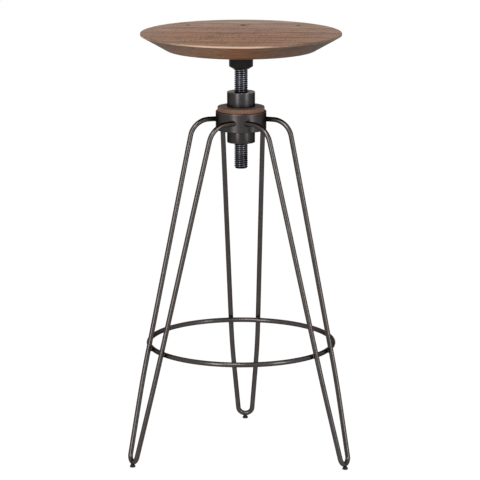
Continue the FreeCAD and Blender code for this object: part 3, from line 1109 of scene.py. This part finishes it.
@dataclass
class HubStack:
    """Hub, washer and the two round nuts."""

    washer_diameter: float = 89.7
    washer_bottom: float = 671.0
    washer_thickness: float = 8.1
    washer_rounding: float = 0.8
    bore: float = 26.4
    nut_diameter: float = 53.2
    nut_bore: float = 25.52
    nut_rounding: float = 0.8
    nut_countersink: float = 1.2
    upper_nut_bottom: float = 679.1
    upper_nut_height: float = 28.4
    lower_nut_bottom: float = 610.5
    lower_nut_height: float = 24.7

    hub_steel = TurnedHubSteel(
        "turned_hub_steel", dark="#393736", brown="#3f3938", grey="#3d3c3d", smoothest=0.32, roughest=0.4
    )
    # The pale band along the upper nut's top rim is a painted highlight
    upper_nut_steel = EdgeWornAndLitSteel(
        "nut_steel_painted_highlight",
        dark="#363535",
        brown="#3a3636",
        grey="#3b3a3a",
        smoothest=0.3,
        roughest=0.38,
        measure=Measure.HEIGHT,
        edge_wear_and_light="#d2cdc8",
        edge_from_mm=706.6,
        edge_to_mm=707.2,
    )
    lower_nut_steel = DarkSteel(
        "blackened_nut_steel", dark="#323130", brown="#363231", grey="#373636", smoothest=0.3, roughest=0.38
    )
    washer_rust = DullCoating(
        "rusted_washer", dark="#574439", brown="#714a36", grey="#635a54", patch_mm=9.0, pit_depth_mm=0.12
    )

    def build(self) -> None:
        """Build and dress the stack."""
        dress_node("hub", self.hub_steel)
        washer = Piece("rusty_washer", Body.BASE, Slot.RUSTY_WASHER, "top_washer")
        washer.finish(self.washer(), self.washer_rust)
        upper = Piece("upper_round_nut", Body.BASE, Slot.BLACKENED_STEEL, "upper_nut")
        upper.finish(self.nut(self.upper_nut_bottom, self.upper_nut_height), self.upper_nut_steel)
        lower = Piece("lower_round_nut", Body.BASE, Slot.BLACKENED_STEEL, "lower_nut")
        lower.finish(self.nut(self.lower_nut_bottom, self.lower_nut_height), self.lower_nut_steel)

    def washer(self) -> Shape:
        """Return the washer, its rim rounded and eaten a little by rust."""
        low, high = self.washer_bottom, self.washer_bottom + self.washer_thickness
        edge, easing = self.washer_diameter / 2, self.washer_rounding
        outline = [(self.bore / 2, low), (edge, low)]
        outline += quarter_round((edge - easing, high - easing), easing, 0, 90)
        outline += [(self.bore / 2, high)]
        shape = turned(divided(outline, 2.0), 144)
        for corner in shape.verts:
            eaten = max(0.0, noise.noise(corner.co * 0.22)) * 0.5
            reach = math.hypot(corner.co.x, corner.co.y)
            if reach > edge - 2 * easing:
                corner.co -= Vector((corner.co.x, corner.co.y, 0)) * (eaten / reach)
        return shape

    def nut(self, bottom: float, height: float) -> Shape:
        """Return a round nut with rounded rims, its bore countersunk at both ends.

        Args:
            bottom: height of its lower face.
            height: the nut's own height.

        Returns:
            The nut.
        """
        bore, edge, easing = self.nut_bore / 2, self.nut_diameter / 2, self.nut_rounding
        top, cone = bottom + height, self.nut_countersink
        outline = [(bore, top - cone), (bore, bottom + cone), (bore + cone, bottom)]
        outline += quarter_round((edge - easing, bottom + easing), easing, -90, 0)
        outline += quarter_round((edge - easing, top - easing), easing, 0, 90)
        outline += [(bore + cone, top)]
        return turned(outline, 144)


@dataclass
class LiftScrew:
    """Threaded screw and the boss on its head."""

    diameter: float = 25.4
    root_diameter: float = 21.4
    bottom: float = 560.5
    top: float = 783.8
    end_chamfer: float = 2.0
    steps_per_turn: int = 40

    thread_steel = EdgeWornAndLitSteel(
        "oiled_thread_steel",
        dark="#1d1e22",
        brown="#23201f",
        grey="#27272c",
        edge_wear_and_light="#62636a",
        smoothest=0.22,
        roughest=0.32,
    )
    boss_black = DullCoating(
        "black_phosphate_boss", dark="#151312", brown="#181513", grey="#141312", reflection=0.1
    )

    def build(self) -> None:
        """Build and dress the screw and the boss."""
        Piece("thread", Body.SEAT, Slot.OILED_SCREW_STEEL, "screw").finish(
            self.thread(), self.thread_steel, crease_deg=50
        )
        dress_node("boss", self.boss_black)

    def pitch(self) -> float:
        """Return the lift of one turn, from the coupling of the stool's joints."""
        couplings = frame["record"]["behaviour"]["couplings"]
        return couplings[0]["ratio"] * math.tau / METRES_PER_MM

    def thread(self) -> Shape:
        """Return the screw: one thread's outline wound up the bar, cut off square and chamfered."""
        pitch, root, crest = self.pitch(), self.root_diameter / 2, self.diameter / 2
        shape = bmesh.new()
        start = self.bottom - 2 * pitch
        outline = [(root, 0.0), (root, 0.13), (crest, 0.315), (crest, 0.685), (root, 0.87), (root, 1.0)]
        corners = [shape.verts.new((radius, 0, start + share * pitch)) for radius, share in outline]
        edges = [shape.edges.new(pair) for pair in zip(corners, corners[1:])]
        turns = math.ceil((self.top - start) / pitch) + 1
        rise = (0, 0, pitch / self.steps_per_turn)
        winding = {"cent": (0, 0, 0), "axis": (0, 0, 1), "angle": math.tau, "dvec": rise}
        bmesh.ops.spin(shape, geom=corners + edges, steps=self.steps_per_turn, **winding)
        one_turn = whole(shape)
        for turn in range(1, turns):
            raised = only(bmesh.types.BMVert, bmesh.ops.duplicate(shape, geom=one_turn)["geom"])
            bmesh.ops.translate(shape, verts=raised, vec=(0, 0, turn * pitch))
        bmesh.ops.remove_doubles(shape, verts=shape.verts, dist=0.01)
        cut(shape, (0, 0, self.bottom), (0, 0, -1))
        cut(shape, (0, 0, self.top), (0, 0, 1))
        # Rings of edges for the chamfer to follow
        for share in (0.33, 0.66, 1.0):
            cut(shape, (0, 0, self.bottom + share * self.end_chamfer), (0, 0, 1), remove=False)
        for corner in shape.verts:
            reach = math.hypot(corner.co.x, corner.co.y)
            limit = crest - self.end_chamfer + (corner.co.z - self.bottom)
            if reach > limit:
                corner.co.xy *= limit / reach
        return shape


@dataclass
class PlankSeat:
    """Round seat of old boards, with its nails, its plate and the plate's screws."""

    diameter: float = 381.0
    top: float = 819.8
    thickness: float = 31.0
    bottom_diameter: float = 285.0
    rim_height: float = 3.6
    rim_rounding: float = 1.2
    joints: tuple[float, ...] = (130.0, 65.0, 0.0, -65.0, -130.0)
    joint_gap: float = 0.25
    joint_wear: float = 1.0
    nail_places: tuple[Pair, ...] = ((-106.0, 105.0), (0.0, 105.0), (106.0, 105.0))
    nail_head: float = 5.0
    plate_hole_circle: float = 96.0
    plate_bottom: float = 783.8
    screw_head: float = 9.0
    screw_head_height: float = 3.0
    cell: float = 4.0
    steps: int = 288

    # Each board's own tone, graded lighter and greyer towards the rear as a painted sheen
    tones_and_sheen = ("#c9bdb4", "#c5ac9c", "#bea08d", "#b5927b", "#b4906f", "#aa8563")
    saw_marks = (0.15, 0.3, 0.45, 0.6, 0.8, 0.9)
    plate_paint = DullCoating(
        "satin_black_paint", dark="#1f1e1d", brown="#242120", grey="#282726", smoothest=0.38, roughest=0.5
    )
    zinc = DarkSteel("darkened_zinc", dark="#5d5b58", brown="#5a5047", grey="#7b7976", patch_mm=2.5)
    iron = DarkSteel("old_nail_iron", dark="#2b211c", brown="#3d291f", grey="#453a34", patch_mm=1.5)

    def build(self) -> None:
        """Build and dress the seat."""
        dress_node("seat_plate", self.plate_paint)
        blank = self.blank()
        edges = (self.diameter,) + self.joints + (-self.diameter,)
        for number, (rear, front) in enumerate(zip(edges, edges[1:]), start=1):
            wood = OldPlank(
                f"old_plank_{number}",
                rear_joint_mm=rear,
                front_joint_mm=front,
                shift=3.7 * number,
                tone_and_sheen=self.tones_and_sheen[number - 1],
                saw_marks=self.saw_marks[number - 1],
            )
            plank = Piece(f"plank_{number}", Body.SEAT, Slot.AGED_WOOD, f"board_{number}")
            plank.finish(self.board(blank, rear, front, number), wood)
        blank.free()
        nails = Piece("nail_heads", Body.SEAT, Slot.OLD_IRON, "old_nails")
        nails.finish(self.nails(), self.iron)
        screws = Piece("wood_screws", Body.SEAT, Slot.WOOD_SCREW_STEEL, "plate_screws")
        screws.finish(self.wood_screws(), self.zinc)

    def blank(self) -> Shape:
        """Return the whole seat before its joints are cut, with a mesh fine enough to wear down."""
        rim, easing = self.diameter / 2, self.rim_rounding
        bottom = self.top - self.thickness
        bevel_top = self.top - self.rim_height
        outline = [(0.0, bottom), (self.bottom_diameter / 2, bottom), (rim, bevel_top)]
        outline += quarter_round((rim - easing, self.top - easing), easing, 0, 90)
        outline += [(0.0, self.top)]
        return turned(divided(outline, self.cell), self.steps)

    def board(self, blank: Shape, rear: float, front: float, number: int) -> Shape:
        """Cut one board out of the blank and wear it down.

        Args:
            blank: the whole seat.
            rear: y of the board's rear joint.
            front: y of its front joint.
            number: the board's number, which moves its wear about.

        Returns:
            The board.
        """
        shape = blank.copy()
        for joint, outwards in ((rear, 1), (front, -1)):
            if abs(joint) >= self.diameter / 2:
                continue
            # The first cut makes the board's side, the others add edges for the wear to follow
            for inset in (0.0, 0.6, 1.6, 4.0):
                plane = (0, joint - outwards * inset, 0)
                cut(shape, plane, (0, outwards, 0), remove=inset == 0.0)
        for corner in shape.verts:
            corner.co -= self.wear(corner.co, rear, front, number)
        return shape

    def wear(self, place: Vector, rear: float, front: float, number: int) -> Vector:
        """Return how far a point of a board has worn or shrunk away.

        Args:
            place: the point on the new board.
            rear: y of the board's rear joint.
            front: y of its front joint.
            number: the board's number.

        Returns:
            The way from the worn place back to the new one.
        """
        offset = Vector((17.0 * number, 0, 0))
        stretched = Vector((place.x * 0.012, place.y * 0.09, place.z * 0.09)) + offset
        worn = Vector((0, 0, 0))
        to_joint = min(rear - place.y, place.y - front)
        on_top = place.z > self.top - 0.5
        if on_top:
            worn.z += 0.12 + 0.22 * (noise.noise(stretched) + 0.5)
            worn.z += 0.1 * (noise.noise(place * 0.12 + offset) + 0.5)
            edge = max(0.0, 1 - to_joint / 2.6)
            along = 0.6 + 0.4 * noise.noise(Vector((place.x * 0.05, number, 3.0)))
            worn.z += self.joint_wear * along * edge * edge
            for across, back in self.nail_places:
                away = math.hypot(place.x - across, place.y - back)
                worn.z += 0.4 * max(0.0, 1 - away / 6)
        if to_joint < 0.01:
            gap = self.joint_gap * (0.5 + 0.5 * noise.noise(Vector((place.x * 0.02, number, 0))))
            worn.y += gap if rear - place.y < place.y - front else -gap
        reach = math.hypot(place.x, place.y)
        if reach > self.diameter / 2 - 4 or place.z < self.top - 3:
            chipped = max(0.0, noise.noise(place * 0.06 + offset)) * 0.9
            chipped += max(0.0, noise.noise(place * 0.3 + offset)) * 0.35
            if reach > self.bottom_diameter / 2 + 1:
                worn += Vector((place.x, place.y, 0)) * (chipped / reach)
        return worn

    def nails(self) -> Shape:
        """Return the three old nail heads, battered and sunk a little into the wood."""
        shape = bmesh.new()
        for across, back in self.nail_places:
            ball = {"u_segments": 20, "v_segments": 10, "radius": self.nail_head / 2}
            head = bmesh.ops.create_uvsphere(shape, **ball)["verts"]
            bmesh.ops.scale(shape, vec=(1, 1, 0.3), verts=head)
            bmesh.ops.translate(shape, verts=head, vec=(across, back, self.top - 1.0))
            for corner in head:
                corner.co.z += 0.25 * noise.noise(corner.co * 0.8)
        return shape

    def wood_screws(self) -> Shape:
        """Return the heads of the wood screws under the plate, each with a cross recess."""
        shape = bmesh.new()
        radius = self.screw_head / 2
        for index in range(4):
            turn = math.radians(45 + 90 * index)
            outline = [(0.0, 0.0), (radius, 0.0)]
            outline += quarter_round((radius - 1.6, -self.screw_head_height + 1.6), 1.6, 0, -90)
            outline += [(0.0, -self.screw_head_height)]
            head = turned(outline, 32)
            place = Vector((math.cos(turn), math.sin(turn), 0)) * (self.plate_hole_circle / 2)
            place.z = self.plate_bottom
            bmesh.ops.translate(head, verts=head.verts, vec=place)
            copied = bpy.data.meshes.new("screw_head")
            head.to_mesh(copied)
            head.free()
            shape.from_mesh(copied)
            bpy.data.meshes.remove(copied)
        return shape


def main() -> None:
    """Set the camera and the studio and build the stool."""
    logging.basicConfig(level=logging.INFO, format="%(message)s")
    PhotoCamera().build()
    Studio().build()
    for assembly in (RodFrame(), HubStack(), LiftScrew(), PlankSeat()):
        assembly.build()


if __name__ == "__main__":
    main()
